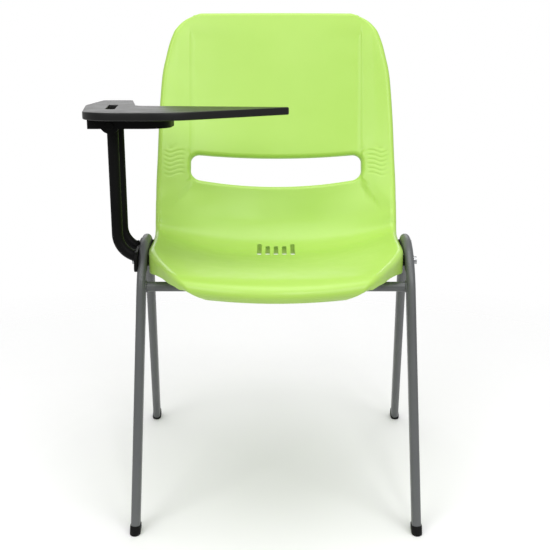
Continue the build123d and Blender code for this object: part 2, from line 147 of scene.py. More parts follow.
def rings_piece(rings):
    """Points and faces through a stack of loops of equal count, closed at both ends."""
    n = len(rings[0])
    points = [p for ring in rings for p in ring]
    faces = []
    for i in range(len(rings) - 1):
        for k in range(n):
            m = (k + 1) % n
            faces.append((i * n + k, i * n + m, (i + 1) * n + m, (i + 1) * n + k))
    faces.append(tuple(range(n)))
    faces.append(tuple(range((len(rings) - 1) * n, len(rings) * n)))
    return points, faces


# ---------------------------------------------------------------- materials
# Noise scales for the drift of the colour and of the roughness, and the shell's subsurface scattering.
DRIFT_SCALE, SMUDGE_SCALE = 9.0, 35.0
GLOW_COLOURS, GLOW_DEPTH = (0.6, 1.0, 0.3), 0.004


def node(tree, kind, **inputs):
    """A new node, with inputs set by name; an underscore stands for a space."""
    made = tree.nodes.new(kind)
    for name, value in inputs.items():
        made.inputs[name.replace("_", " ")].default_value = value
    return made


def noise_at(tree, coords, scale, detail=3.0):
    texture = node(tree, "ShaderNodeTexNoise", Scale=scale, Detail=detail, Roughness=0.55)
    tree.links.new(coords, texture.inputs["Vector"])
    return texture.outputs["Fac"]


def ramp_between(tree, factor, low, high, dark, light):
    """Maps low..high of factor onto dark..light, as numbers."""
    scale = node(tree, "ShaderNodeMapRange", From_Min=low, From_Max=high, To_Min=dark, To_Max=light)
    tree.links.new(factor, scale.inputs["Value"])
    return scale.outputs["Result"]


def mix_colours(tree, factor, first, second):
    mix = tree.nodes.new("ShaderNodeMix")
    mix.data_type = "RGBA"
    tree.links.new(factor, mix.inputs["Factor"])
    mix.inputs["A"].default_value = (*first, 1)
    mix.inputs["B"].default_value = (*second, 1)
    return mix.outputs["Result"]


def surface(name, colour, worn, roughness, grain, metallic=0.0, specular=0.5, subsurface=0.0):
    """A finish: colour drifting to worn over the surface, roughness as (least, most), and a bump grain
    given as (scale per metre, strength, depth in metres)."""
    material = bpy.data.materials.new(name)
    material.use_nodes = True
    tree = material.node_tree
    shader = tree.nodes["Principled BSDF"]
    shader.inputs["Metallic"].default_value = metallic
    shader.inputs["Specular IOR Level"].default_value = specular
    if subsurface:
        shader.inputs["Subsurface Weight"].default_value = subsurface
        shader.inputs["Subsurface Radius"].default_value = GLOW_COLOURS
        shader.inputs["Subsurface Scale"].default_value = GLOW_DEPTH
    coords = tree.nodes.new("ShaderNodeTexCoord").outputs["Object"]
    drift = noise_at(tree, coords, DRIFT_SCALE)
    tone = mix_colours(tree, ramp_between(tree, drift, 0.35, 0.65, 0, 1), colour, worn)
    tree.links.new(tone, shader.inputs["Base Color"])
    smudge = noise_at(tree, coords, SMUDGE_SCALE, 4.0)
    tree.links.new(ramp_between(tree, smudge, 0.3, 0.7, *roughness), shader.inputs["Roughness"])
    scale, strength, depth = grain
    bump = node(tree, "ShaderNodeBump", Strength=strength, Distance=depth)
    tree.links.new(noise_at(tree, coords, scale, 2.0), bump.inputs["Height"])
    tree.links.new(bump.outputs["Normal"], shader.inputs["Normal"])
    return material


GREEN = surface("shell_plastic", (0.40, 0.635, 0.105), (0.385, 0.62, 0.097), (0.28, 0.36),
                (1400, 0.08, 0.0003), specular=0.5, subsurface=0.06)
GREY = surface("frame_grey", (0.115, 0.12, 0.122), (0.105, 0.11, 0.112), (0.36, 0.46),
               (900, 0.18, 0.0003), metallic=0.2, specular=0.4)
ARM_BLACK = surface("arm_black", (0.003, 0.003, 0.003), (0.005, 0.005, 0.005), (0.44, 0.54),
                    (1000, 0.12, 0.0003), specular=0.08)
CAP_BLACK = surface("black_plastic", (0.005, 0.005, 0.005), (0.007, 0.007, 0.007), (0.5, 0.62),
                    (1500, 0.2, 0.0003), specular=0.1)
TABLET_BLACK = surface("tablet_black", (0.004, 0.004, 0.0042), (0.006, 0.006, 0.006), (0.36, 0.44),
                       (1800, 0.2, 0.0003), specular=0.3)
ZINC = surface("zinc_steel", (0.42, 0.42, 0.43), (0.34, 0.35, 0.36), (0.25, 0.4),
               (700, 0.08, 0.0002), metallic=1.0)


# ---------------------------------------------------------------- the shell's surface, as in part.py
SHELL_THICKNESS, SHELL_EDGE = 3.7, 0.7
ROLL_RADIUS = 8.0
DISH_POWER = 2.4
# y, z, half width, rise of the sides, flange depth, how far the sides stand behind the middle
STATIONS = np.array([
    (-68, 421.5, 112, 1, 10, 26),
    (-75.5, 432, 131, 1, 11, 26),
    (-69, 444.5, 142, 1, 14, 25),
    (-50, 451, 152.5, 2, 16, 22),
    (-20, 452, 164, 3, 18, 14),
    (20, 450, 177, 6, 20, 6),
    (60, 446, 192, 12, 25, 1),
    (110, 440, 209.5, 25, 38, 0),
    (170, 433, 213.2, 35, 43, 0),
    (230, 426, 217.2, 42, 45, 0),
    (268, 427, 219.5, 46, 42, 0),
    (300, 440, 221, 52, 34, 0),
    (323, 466, 221.5, 56, 28, 0),
    (338, 500, 222, 50, 24, 0),
    (350, 535, 222.5, 42, 22, 0),
    (366, 587, 221.8, 33, 20, 0),
    (385, 655, 220, 27, 18, 0),
    (403, 730, 215, 22, 17, 0),
    (412, 770, 207.5, 19, 16, 0),
    (419, 802, 199.5, 16, 15, 0),
    (424.5, 826, 187.5, 13, 13, 0),
    (428.5, 842, 169.5, 10, 12, 0),
    (431, 852.5, 141, 7, 11, 0),
], float)
LAST = len(STATIONS) - 1


def eased(t):
    """The station values at t, smooth between stations; t may be an array."""
    t = np.asarray(t, float)
    i = np.minimum(t.astype(int), LAST - 1)
    f = (t - i)[..., None]
    slopes = np.gradient(STATIONS, axis=0)
    a, b, m, n = STATIONS[i], STATIONS[i + 1], slopes[i], slopes[i + 1]
    return ((2 * f**3 - 3 * f**2 + 1) * a + (f**3 - 2 * f**2 + f) * m
            + (3 * f**2 - 2 * f**3) * b + (f**3 - f**2) * n)


FINE_T = np.linspace(0, LAST, 4000)
FINE_YZ = eased(FINE_T)[:, :2]
FINE_RUN = np.concatenate([[0], np.cumsum(np.hypot(*np.diff(FINE_YZ, axis=0).T))])
TOTAL_RUN = FINE_RUN[-1]

# Station numbers: a height is looked up past BACK_STARTS, and a depth between the other two.
BACK_STARTS, SEAT_STARTS, SEAT_ENDS = 11, 2, 14


def run_at_height(z):
    """Distance along the back's middle line at which it passes height z."""
    back = FINE_T > BACK_STARTS
    return float(np.interp(z, FINE_YZ[back, 1], FINE_RUN[back]))


def run_at_depth(y):
    """Distance along the seat's middle line at which it passes depth y."""
    seat = (FINE_T > SEAT_STARTS) & (FINE_T < SEAT_ENDS)
    return float(np.interp(y, FINE_YZ[seat, 0], FINE_RUN[seat]))


# The rolled top edge: radius, degrees turned, loops round the turn, and the length of each loop past it.
TOP_ROLL, TOP_TURN, TOP_STEPS, TOP_TAIL = 6.0, 80, 6, 2.5
TOP_END = TOTAL_RUN - TOP_ROLL

# Holes: half width, corner radius, ends, the margin of reshaped skin round them and the rolled lip. The
# wall is how far the hole's edge goes on down past its lip.
OPEN_X, OPEN_CORNER = 161.0, 17.0
OPEN_LOW, OPEN_HIGH = run_at_height(532.5), run_at_height(584.5)
OPEN_MARGIN, OPEN_LIP, OPEN_WALL = 11.0, 8.0, 4.0
DRAIN_PITCH, DRAIN_X, DRAIN_CORNER = 15.2, 3.85, 3.2
DRAIN_LOW, DRAIN_HIGH = run_at_depth(233), run_at_depth(288)
DRAIN_SHORTER = 6.0
DRAIN_MARGIN, DRAIN_LIP, DRAIN_WALL = 2.6, 0.9, 1.0
DRAINS_A_SIDE = 2

# How far the rows bow: beside the opening's lower edge, beside its upper edge, and along the top. Each
# dies away over its fade, measured along the shell.
LOW_BOW, HIGH_BOW, TOP_DOME = 13, 6, -2.5
LOW_FADE, HIGH_FADE, DOME_FADE = 150, 160, 90
BOW_ENDS_X, BOW_FADES_X, DOME_X = 222, 165, 140

# The crease beside the centre panel: its place, how far out it swings at its low end, the slope and the
# step that it adds outside, and how soft its bend is.
CREASE_X, CREASE_SWING = 162.0, 34
CREASE_SLOPE, CREASE_STEP, CREASE_SOFTNESS = 0.11, 2.2, 6

# Heights: it is straight above the first, ends at the second and is at full strength from the third. It
# fades between two distances from the top.
CREASE_STRAIGHT_Z, CREASE_END_Z, CREASE_FULL_Z = 548, 478, 525
CREASE_TOP_GONE, CREASE_TOP_FULL = 14, 50

# The waves: where they start, how far apart they are and how many, and each one's depth and half width.
# They run RIPPLE_LIFT higher than that, dip by RIPPLE_DIP round RIPPLE_DIP_X, and fade at both ends.
RIPPLE_LOW, RIPPLE_PITCH, RIPPLES = run_at_height(551), 8.7, 7
RIPPLE_DEPTH, RIPPLE_WIDTH = 0.75, 1.8
RIPPLE_LIFT, RIPPLE_DIP, RIPPLE_DIP_X, RIPPLE_DIP_WIDTH = 3, 7, 198, 11
RIPPLE_INNER_END, RIPPLE_OUTER_END = (171, 176), (211, 207)


def warp(x, row):
    """Rows bow upward at the sides around the lumbar opening, and downward along the top edge."""
    low_bow = LOW_BOW * ease(row, OPEN_LOW - LOW_FADE, OPEN_LOW) * ease(row, OPEN_HIGH, OPEN_LOW)
    high_bow = HIGH_BOW * ease(row, OPEN_LOW, OPEN_HIGH) * ease(row, OPEN_HIGH + HIGH_FADE, OPEN_HIGH)
    dome = TOP_DOME * ease(row, TOP_END - DOME_FADE, TOP_END)
    bow = (low_bow + high_bow) * (x / OPEN_X) ** 2 * ease(abs(x), BOW_ENDS_X, BOW_FADES_X)
    return row + bow + dome * (x / DOME_X) ** 2


def spine(run):
    """Station values and the middle line's unit normal, towards the sitter, at a distance along it."""
    t = np.interp(run, FINE_RUN, FINE_T)
    values = eased(t)
    before, after = eased(np.maximum(t - 0.02, 0)), eased(np.minimum(t + 0.02, LAST))
    dy, dz = after[..., 0] - before[..., 0], after[..., 1] - before[..., 1]
    length = np.hypot(dy, dz)
    return values, -dz / length, dy / length


def crease_at(run):
    """Where the crease beside the centre panel runs, and how strong it is, at a distance along."""
    end = run_at_height(CREASE_END_Z)
    outward = ease(run, run_at_height(CREASE_STRAIGHT_Z), end)
    low_fade = ease(run, end, run_at_height(CREASE_FULL_Z))
    strength = low_fade * ease(run, TOP_END - CREASE_TOP_GONE, TOP_END - CREASE_TOP_FULL)
    return CREASE_X + CREASE_SWING * outward**1.3, strength


def roll_start(values):
    """How far out the sitting surface reaches before the edge rolls over."""
    half, dish = values[..., 2], values[..., 3]
    return half - ROLL_RADIUS * (1 + np.sin(np.arctan(DISH_POWER * dish / half)))


def ripples_at(side, run):
    """The row of shallow waves pressed into the plastic beside the lumbar opening."""
    depth = 0.0
    for k in range(RIPPLES):
        dip = RIPPLE_DIP * np.exp(-(((side - RIPPLE_DIP_X) / RIPPLE_DIP_WIDTH) ** 2))
        middle = RIPPLE_LOW + RIPPLE_PITCH * k + RIPPLE_LIFT - dip
        depth = depth - RIPPLE_DEPTH * np.exp(-(((run - middle) / RIPPLE_WIDTH) ** 2))
    return depth * ease(side, *RIPPLE_INNER_END) * ease(side, *RIPPLE_OUTER_END)


def rise(x, run, values):
    """How far the sitting surface stands off the middle line at x, with its crease."""
    half, dish = values[..., 2], values[..., 3]
    side = abs(x)
    base = dish * (side / half) ** DISH_POWER
    crease, strength = crease_at(run)
    past = side - crease
    fold = CREASE_SLOPE * strength * (past + np.sqrt(past**2 + CREASE_SOFTNESS)) / 2
    to_edge = np.maximum(roll_start(values) - crease, 1)
    at_edge = dish * (roll_start(values) / half) ** DISH_POWER
    base = base * (1 - CREASE_SLOPE * strength * to_edge / at_edge)

    # The step comes up across the crease and dies away towards the edge.
    step = CREASE_STEP * strength * (ease(past, -2.0, 1.2) - ease(side, crease + 20, half))
    return base + fold + step


def sitting_point(x, row, drop=0.0, rippled=True):
    """A point of the sitting surface, sunk by drop, in millimetres."""
    run = warp(x, row)
    values, up_y, up_z = spine(run)
    h = rise(x, run, values) - drop
    if rippled:
        h = h + ripples_at(abs(x), run)
    y = values[..., 0] + up_y * h + values[..., 5] * (x / values[..., 2]) ** 2
    return np.stack([x + MIDDLE_X, y + TOES_Y, values[..., 1] + up_z * h], -1)


def spaced(start, stop, step):
    """Evenly spaced values from start to stop, about a step apart."""
    return list(np.linspace(start, stop, max(2, round(abs(stop - start) / step) + 1)))


# Columns of each half: on the panel, on the bolster, and how many of the bolster's the opening takes. The
# panel is never more than PANEL_SHARE of the half.
PANEL_COLUMNS, BOLSTER_COLUMNS, OPEN_BOLSTER_COLUMNS = 26, 24, 5
DRAIN_COLUMN_STEP, PANEL_SHARE = 3.2, 0.86


def drain_columns():
    """X of the half shell's columns that the drains need, from the middle out."""
    marks = []
    for k in range(DRAINS_A_SIDE + 1):
        middle = k * DRAIN_PITCH
        low, high = middle - DRAIN_X - DRAIN_MARGIN, middle + DRAIN_X + DRAIN_MARGIN
        marks += [low, low + DRAIN_COLUMN_STEP, middle, high - DRAIN_COLUMN_STEP, high]
    return sorted(set(round(x, 3) for x in marks if x > -0.01))


def shares(count):
    """Evenly spaced shares of a stretch, without its start."""
    return np.linspace(0, 1, count + 1)[1:]


DRAIN_XS = drain_columns()
INNER_X = DRAIN_XS[-1]
HALF_COLUMNS = len(DRAIN_XS) + PANEL_COLUMNS + BOLSTER_COLUMNS


def column_x(run_values, crease):
    """X of each half column where the shell has these station values: drains, panel, then bolster."""
    limit = float(roll_start(run_values))
    edge = min(crease, PANEL_SHARE * limit)
    panel = [INNER_X + (edge - INNER_X) * share for share in shares(PANEL_COLUMNS)]
    bolster = [edge + (limit - edge) * share for share in shares(BOLSTER_COLUMNS)]
    return np.array(DRAIN_XS + panel + bolster)


def row_marks():
    """Rows along the shell, finer where the drains and ripples are, with lines at each hole's margin."""
    drain_low, drain_high = DRAIN_LOW - DRAIN_MARGIN, DRAIN_HIGH + DRAIN_MARGIN
    open_low, open_high = OPEN_LOW - OPEN_MARGIN, OPEN_HIGH + OPEN_MARGIN
    rows = spaced(0, 60, 3) + spaced(60, drain_low, 6) + spaced(drain_low, drain_high, 3.3)
    rows += spaced(drain_high, open_low, 5) + spaced(open_low, open_high, 1.45)
    rows += spaced(open_high, TOP_END - 60, 6) + spaced(TOP_END - 60, TOP_END, 2.5)
    return sorted(set(round(r, 4) for r in rows))


ROWS = row_marks()
ROLL_STEPS, FLANGE_STEPS = 8, 5


def half_row(row):
    """The sitting surface, rolled edge and flange at one row, as (x, y, z) rows from the middle out."""
    values, _, _ = spine(np.float64(row))
    xs = column_x(values, float(crease_at(row)[0]))
    flat = sitting_point(xs, np.full(len(xs), row))
    edge_run = warp(xs[-1], row)
    values, up_y, up_z = spine(np.float64(edge_run))
    smooth = sitting_point(xs[[-3, -1]], np.full(2, row), rippled=False)
    outward = smooth[1] - smooth[0]
    lean = np.arctan2(outward[1] * up_y + outward[2] * up_z, outward[0])
    across, up = np.array([1.0, 0, 0]), np.array([0, up_y, up_z])
    slope_out = across * cos(lean) + up * sin(lean)
    slope_up = up * cos(lean) - across * sin(lean)
    centre = smooth[1] - slope_up * ROLL_RADIUS
    rolled = []
    for k in range(1, ROLL_STEPS + 1):
        turn = (pi / 2 + lean) * k / ROLL_STEPS
        rolled.append(centre + ROLL_RADIUS * (slope_up * cos(turn) + slope_out * sin(turn)))
    depth = values[4] - ROLL_RADIUS
    flange = [rolled[-1] - up * depth * k / FLANGE_STEPS for k in range(1, FLANGE_STEPS + 1)]
    return np.vstack([flat, rolled, flange])


def mirror_x(points):
    """The points on the other side of the chair's middle."""
    mirrored = points.copy()
    mirrored[:, 0] = 2 * MIDDLE_X - mirrored[:, 0]
    return mirrored


def shell_grid():
    """The whole outer skin as a grid of points, rows from the front lip to the rolled top edge."""
    grid = []
    for row in ROWS:
        half = half_row(row)
        grid.append(np.vstack([mirror_x(half[1:])[::-1], half]))
    last = grid[-1]
    _, up_y, up_z = spine(np.float64(TOP_END))
    back = -np.array([0, up_y, up_z])
    along = np.array([0, up_z, -up_y])

    # The top's roll dies away towards the sides, where the side's own roll takes over.
    pan_edge = HALF_COLUMNS - 1
    out = np.abs(np.arange(len(last)) - len(last) // 2)
    share = (0.12 + 0.88 * ease(out, pan_edge + ROLL_STEPS, pan_edge - 10))[:, None]
    for step in range(1, TOP_STEPS + 1):
        turn = radians(TOP_TURN) * step / TOP_STEPS
        shift = TOP_ROLL * (sin(turn) * along + (1 - cos(turn)) * back)
        grid.append(last + share * shift)
    # Then straight back from where the turn ended.
    for step in (1, 2):
        grid.append(last + share * (shift + TOP_TAIL * step * back))
    return grid


# How far each ring of a hole's lip still is from the hole, as a share of the lip's width.
LIP_SHARES = (1.15, 1.0, 0.86, 0.72, 0.58, 0.44, 0.31, 0.2, 0.11, 0.04, 0.0)


def hole_rings(loop, hole, lip, wall):
    """Rings from a hole's margin to its rounded outline, as (x and row, drop), sunk over the lip."""
    low_x, high_x, low_row, high_row, corner = hole
    middle = np.array([(low_x + high_x) / 2, (low_row + high_row) / 2])
    reach = np.array([(high_x - low_x) / 2, (high_row - low_row) / 2]) - corner
    targets = []
    for point in loop:
        offset = point - middle
        beyond = np.abs(offset) - reach
        signs = np.sign(offset)
        if beyond[0] > 0 and beyond[1] > 0:
            targets.append(middle + signs * (reach + corner * beyond / np.linalg.norm(beyond)))
        elif beyond[0] > beyond[1]:
            targets.append(np.array([middle[0] + signs[0] * (reach[0] + corner), point[1]]))
        else:
            targets.append(np.array([point[0], middle[1] + signs[1] * (reach[1] + corner)]))
    targets = np.array(targets)
    away = loop - targets
    away /= np.linalg.norm(away, axis=1)[:, None]
    rings = []
    for share in LIP_SHARES:
        d = lip * share
        drop = lip - np.sqrt(max(lip**2 - (lip - min(d, lip)) ** 2, 0))
        rings.append((targets + away * d, drop))
    for k in (1, 2):
        rings.append((targets, lip + wall * k / 2))
    return rings


def nearest_row(run):
    """The number of the grid's row nearest this distance along the shell."""
    return int(np.argmin([abs(r - run) for r in ROWS]))


def nearest_drain_column(middle, x):
    """The number of the grid's column nearest x among the drains' own columns."""
    k = int(np.argmin([abs(m - abs(x)) for m in DRAIN_XS]))
    return middle + (k if x >= 0 else -k)


def shell_holes(middle):
    """Each hole's box of columns and rows in the grid, its outline, its lip and its wall."""
    holes = []
    low, high = nearest_row(DRAIN_LOW - DRAIN_MARGIN), nearest_row(DRAIN_HIGH + DRAIN_MARGIN)
    reach = DRAIN_X + DRAIN_MARGIN
    for k in range(-DRAINS_A_SIDE, DRAINS_A_SIDE + 1):
        x = k * DRAIN_PITCH
        box = (nearest_drain_column(middle, x - reach), nearest_drain_column(middle, x + reach), low, high)
        shorter = DRAIN_SHORTER if abs(k) < DRAINS_A_SIDE else 0
        shape = (x - DRAIN_X, x + DRAIN_X, DRAIN_LOW + shorter / 2, DRAIN_HIGH - shorter, DRAIN_CORNER)
        holes.append((box, shape, DRAIN_LIP, DRAIN_WALL))
    low, high = nearest_row(OPEN_LOW - OPEN_MARGIN), nearest_row(OPEN_HIGH + OPEN_MARGIN)
    side = len(DRAIN_XS) + PANEL_COLUMNS - 1 + OPEN_BOLSTER_COLUMNS
    shape = (-OPEN_X, OPEN_X, OPEN_LOW, OPEN_HIGH, OPEN_CORNER)
    holes.append(((middle - side, middle + side, low, high), shape, OPEN_LIP, OPEN_WALL))
    return holes


def build_shell():
    """The shell: the skin's grid with its holes cut and lipped, thickened behind and softly edged."""
    grid = shell_grid()
    width, height = len(grid[0]), len(grid)
    points = [p for row in grid for p in row]
    holes = shell_holes(width // 2)
    skipped = set()
    for (c0, c1, r0, r1), *_ in holes:
        skipped |= {(r, c) for r in range(r0, r1) for c in range(c0, c1)}
    faces = []
    for r in range(height - 1):
        for c in range(width - 1):
            if (r, c) not in skipped:
                a = r * width + c
                faces.append((a, a + 1, a + width + 1, a + width))

    def flat_place(r, c):
        return np.array([points[r * width + c][0] - MIDDLE_X, ROWS[r]])

    for (c0, c1, r0, r1), shape, lip, wall in holes:
        around = [(r0, c) for c in range(c0, c1)] + [(r, c1) for r in range(r0, r1)]
        around += [(r1, c) for c in range(c1, c0, -1)] + [(r, c0) for r in range(r1, r0, -1)]
        loop = np.array([flat_place(r, c) for r, c in around])
        previous = [r * width + c for r, c in around]
        for ring, drop in hole_rings(loop, shape, lip, wall):
            first = len(points)
            points += list(sitting_point(ring[:, 0], ring[:, 1], drop))
            current = list(range(first, first + len(ring)))
            n = len(ring)
            for k in range(n):
                m = (k + 1) % n
                faces.append((previous[k], previous[m], current[m], current[k]))
            previous = current

    shell = mesh_piece("shell", points, faces, "chair", "shell_plastic", GREEN)
    middle_face = min(shell.data.polygons, key=lambda p: (p.center - place(0, 100, 441) * MM).length)
    if middle_face.normal.z < 0:
        shell.data.flip_normals()
    skin = shell.modifiers.new("thickness", "SOLIDIFY")
    skin.thickness = SHELL_THICKNESS * MM
    skin.offset = -1
    skin.use_even_offset = False
    skin.thickness_clamp = 0
    edge = shell.modifiers.new("edge", "BEVEL")
    edge.width = SHELL_EDGE * MM
    edge.segments = 2
    edge.limit_method = "ANGLE"
    edge.angle_limit = radians(60)
    edge.harden_normals = False
    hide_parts("seat_shell")


def build_rib():
    """The stiffening rib moulded across the shell's underside, behind the drain slots."""
    half_x, bottom, top, front, back = 50.0, 414.0, 434.0, 290.5, 293.5
    half_wall, count = (back - front) / 2, 24
    rings = []
    for z, draft in ((bottom, 0.7), (bottom + 0.5, 0.2), (bottom + 1.2, 0.0), (top, -0.4)):
        loop = []
        for k in range(count):
            turn = 2 * pi * (k + 0.5) / count
            across = half_x - half_wall - draft
            x = (across if cos(turn) > 0 else -across) + (half_wall - draft) * cos(turn)
            loop.append(place(x, (front + back) / 2 + (half_wall - draft) * sin(turn), z))
        rings.append(loop)
    mesh_piece("shell_rib", *rings_piece(rings), "chair", "shell_plastic", GREEN, sharp=50)


build_shell()
build_rib()

# ---------------------------------------------------------------- tubular frame
TUBE_ACROSS, TUBE_DEEP, BEND_RADIUS = 15.0, 30.0, 75.0

# A side frame lies in one plane, FEET_X out where y and z are 0, and further out by SPREAD_BACK for each
# millimetre back and in by LEAN_IN for each millimetre up. The knees are the corners of its middle line.
FEET_X, SPREAD_BACK, LEAN_IN = 233.7, 0.0594, 0.045
KNEE_Z, FRONT_KNEE_Y, REAR_KNEE_Y = 458.0, 104.0, 225.0
FRONT_FOOT_Y, REAR_FOOT_Y = 17.0, 490.0
LEG_END, CAP_WALL, CAP_HEIGHT = 10.0, 1.4, 14.0
SOLE_CHAMFER, MOUTH_GAP = (1.2, 1.4), 0.05
CROSSBAR_RADIUS, WELD_BITE = 8.0, 0.5

# Each crossbar's y and z.
BARS = {"front_crossbar": (93.7, 404.0), "rear_crossbar": (252.8, 410.0)}


def frame_x(side, y, z, outward=0.0):
    """X of a side frame's middle plane, or of a plane that far outside it."""
    return side * (FEET_X + SPREAD_BACK * y - LEAN_IN * z + outward)


def on_frame(side, y, z, outward=0.0):
    return place(frame_x(side, y, z, outward), y, z)


def out_of_frame(side):
    return Vector((side, -SPREAD_BACK, LEAN_IN)).normalized()


def leg_y(foot_y, knee_y, z):
    """Y of a leg's middle line at height z."""
    return foot_y + (knee_y - foot_y) * z / KNEE_Z


def weld_bead(name, centre, normal, radius, material, slot, bead):
    """A ring of fillet weld with small ripples, lying on the face square to normal."""
    normal = Vector(normal).normalized()
    first = normal.orthogonal().normalized()
    second = normal.cross(first)
    points, faces = [], []
    count, around = 96, 8
    for k in range(count):
        a = 2 * pi * k / count
        out = first * cos(a) + second * sin(a)
        size = bead * (1 + 0.13 * sin(a * 16) + 0.05 * sin(a * 5 + 1))
        for j in range(around):
            b = 2 * pi * j / around
            points.append(centre + out * (radius + size * cos(b)) + normal * size * sin(b))
    for k in range(count):
        for j in range(around):
            p, q = (k + 1) % count, (j + 1) % around
            faces.append((k * around + j, p * around + j, p * around + q, k * around + q))
    mesh_piece(name, points, faces, "chair", slot, material)


def build_frame():
    """Both bent side tubes, and the crossbars with a weld bead at each end."""
    for side, name in ((LEFT, "left_side_frame"), (RIGHT, "right_side_frame")):
        line = rounded([
            on_frame(side, leg_y(FRONT_FOOT_Y, FRONT_KNEE_Y, LEG_END), LEG_END),
            on_frame(side, FRONT_KNEE_Y, KNEE_Z),
            on_frame(side, REAR_KNEE_Y, KNEE_Z),
            on_frame(side, leg_y(REAR_FOOT_Y, REAR_KNEE_Y, LEG_END), LEG_END),
        ], BEND_RADIUS, 28)
        tube = sweep(line, out_of_frame(side), oval(TUBE_ACROSS, TUBE_DEEP, 48))
        piece = mesh_piece(name + "_tube", *tube, "chair", "frame_grey", GREY, sharp=60)
        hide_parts(name)
    for name, (y, z) in BARS.items():
        reach = frame_x(LEFT, y, z) - TUBE_ACROSS / 2 + WELD_BITE
        line = [place(x, y, z) for x in np.linspace(-reach, reach, 9)]
        bar = sweep(line, (0, 1, 0), circle(CROSSBAR_RADIUS, 40))
        piece = mesh_piece(name + "_tube", *bar, "chair", "frame_grey", GREY, sharp=60)
        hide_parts(name)
        for side, end in ((LEFT, "left"), (RIGHT, "right")):
            face = on_frame(side, y, z, -TUBE_ACROSS / 2)
            weld_bead(f"{name}_{end}_weld", face, out_of_frame(side), CROSSBAR_RADIUS + 0.4,
                      GREY, "frame_grey", 1.7)


def build_feet():
    """Foot caps: a cup with a rounded mouth, a groove under it and a chamfered sole, flat on the floor."""
    legs = {
        "front_left_foot": (LEFT, FRONT_FOOT_Y, FRONT_KNEE_Y),
        "front_right_foot": (RIGHT, FRONT_FOOT_Y, FRONT_KNEE_Y),
        "rear_left_foot": (LEFT, REAR_FOOT_Y, REAR_KNEE_Y),
        "rear_right_foot": (RIGHT, REAR_FOOT_Y, REAR_KNEE_Y),
    }
    for name, (side, foot_y, knee_y) in legs.items():
        foot = on_frame(side, foot_y, 0)
        up = (on_frame(side, knee_y, KNEE_Z) - foot).normalized()
        across = out_of_frame(side)
        deep = up.cross(across)

        def ring(wall, height, on_floor=None):
            """A loop round the tube, wall outside it; with on_floor it is level, at that height."""
            loop = []
            for a, b in oval(TUBE_ACROSS + 2 * wall, TUBE_DEEP + 2 * wall, 48):
                point = foot + across * a + deep * b + up * height
                if on_floor is not None or point.z < 0:
                    point -= up * ((point.z - (on_floor or 0)) / up.z)
                loop.append(point)
            return loop

        chamfer_in, chamfer_up = SOLE_CHAMFER
        sole = [ring(CAP_WALL - chamfer_in, 0, 0.0), ring(CAP_WALL, 0, chamfer_up)]
        walls = [ring(CAP_WALL - dip, CAP_HEIGHT - below) for below, dip in (
            (3.8, 0), (3.3, 0.35), (2.8, 0), (1.2, 0.05), (0.6, 0.3), (0.2, 0.7), (0, 1.2))]
        mouth = [ring(MOUTH_GAP, CAP_HEIGHT - 0.1)]
        piece = mesh_piece(name + "_cap", *rings_piece(sole + walls + mouth), "chair", "black_plastic",
                           CAP_BLACK, sharp=50)
        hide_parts(name)


build_frame()
build_feet()

# ---------------------------------------------------------------- arm
POST_RADIUS, POST_BEND = 9.0, 38.0
POST_YS, POST_KNEE_Z = (112.0, 164.0), (464.0, 467.0)
STUB_REACH, STUB_DROP = 36.0, 16.8
POST_SHORT_OF_HINGE, POST_BITE = 4, 0.4
PLATE_THICKNESS = 5.0
PLATE_FACE = TUBE_ACROSS / 2 + PLATE_THICKNESS


def build_posts():
    """Two posts that rise from the arm plate, each bent once, with a weld bead at the plate."""
    outward = out_of_frame(RIGHT)
    for name, y, knee_z in zip(("front_arm_post", "rear_arm_post"), POST_YS, POST_KNEE_Z):
        knee = place(HINGE_X, y, knee_z)
        stub = Vector((STUB_REACH, 0, -STUB_DROP)).normalized()
        face = on_frame(RIGHT, y, knee_z, PLATE_FACE)
        reach = (face - knee).dot(outward) / stub.dot(outward)
        end = knee + stub * (reach + POST_BITE)
        line = rounded([place(HINGE_X, y, HINGE_Z - POST_SHORT_OF_HINGE), knee, end], POST_BEND, 24)
        post = sweep(line, (0, 1, 0), circle(POST_RADIUS, 40))
        piece = mesh_piece(name + "_tube", *post, "chair", "arm_black", ARM_BLACK, sharp=60)
        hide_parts(name)
        weld_bead(name + "_weld", knee + stub * reach, outward, POST_RADIUS + 0.8,
                  ARM_BLACK, "arm_black", 1.6)


build_posts()

# ---------------------------------------------------------------- tablet
TABLET_BOTTOM, TABLET_THICKNESS, TABLET_EDGE, SLOT_EDGE = 678.0, 12.0, 2.0, 1.0
# Corners as x, y and the radius that rounds them.
TABLET_OUTLINE = [
    (-284, 2, 60), (-150, 0, 100), (31, 163, 8), (-194, 197, 500), (-236, 203, 30), (-274, 408, 8),
    (-331, 408, 14), (-326, 225, 200),
]
TABLET_SLOT = [(-268, 98, 2.5), (-253, 98, 2.5), (-271, 230, 2.5), (-287, 230, 2.5)]


def rounded_outline(corners, steps):
    """A closed flat outline through (x, y, radius) corners, anticlockwise, as an array of x, y."""
    outline = []
    count = len(corners)
    for i, (x, y, radius) in enumerate(corners):
        before, after = Vector(corners[i - 1][:2]), Vector(corners[(i + 1) % count][:2])
        outline += corner_arc(before, Vector((x, y)), after, radius, steps)
    outline = np.array([tuple(p) for p in outline])
    following = np.roll(outline, -1, axis=0)
    area = 0.5 * np.sum(outline[:, 0] * following[:, 1] - outline[:, 1] * following[:, 0])
    return outline[::-1] if area < 0 else outline


def inset(outline, distance):
    """The outline moved inward by distance; it runs anticlockwise."""
    along = np.roll(outline, -1, axis=0) - np.roll(outline, 1, axis=0)
    along /= np.linalg.norm(along, axis=1)[:, None]
    return outline + distance * np.stack([-along[:, 1], along[:, 0]], -1)


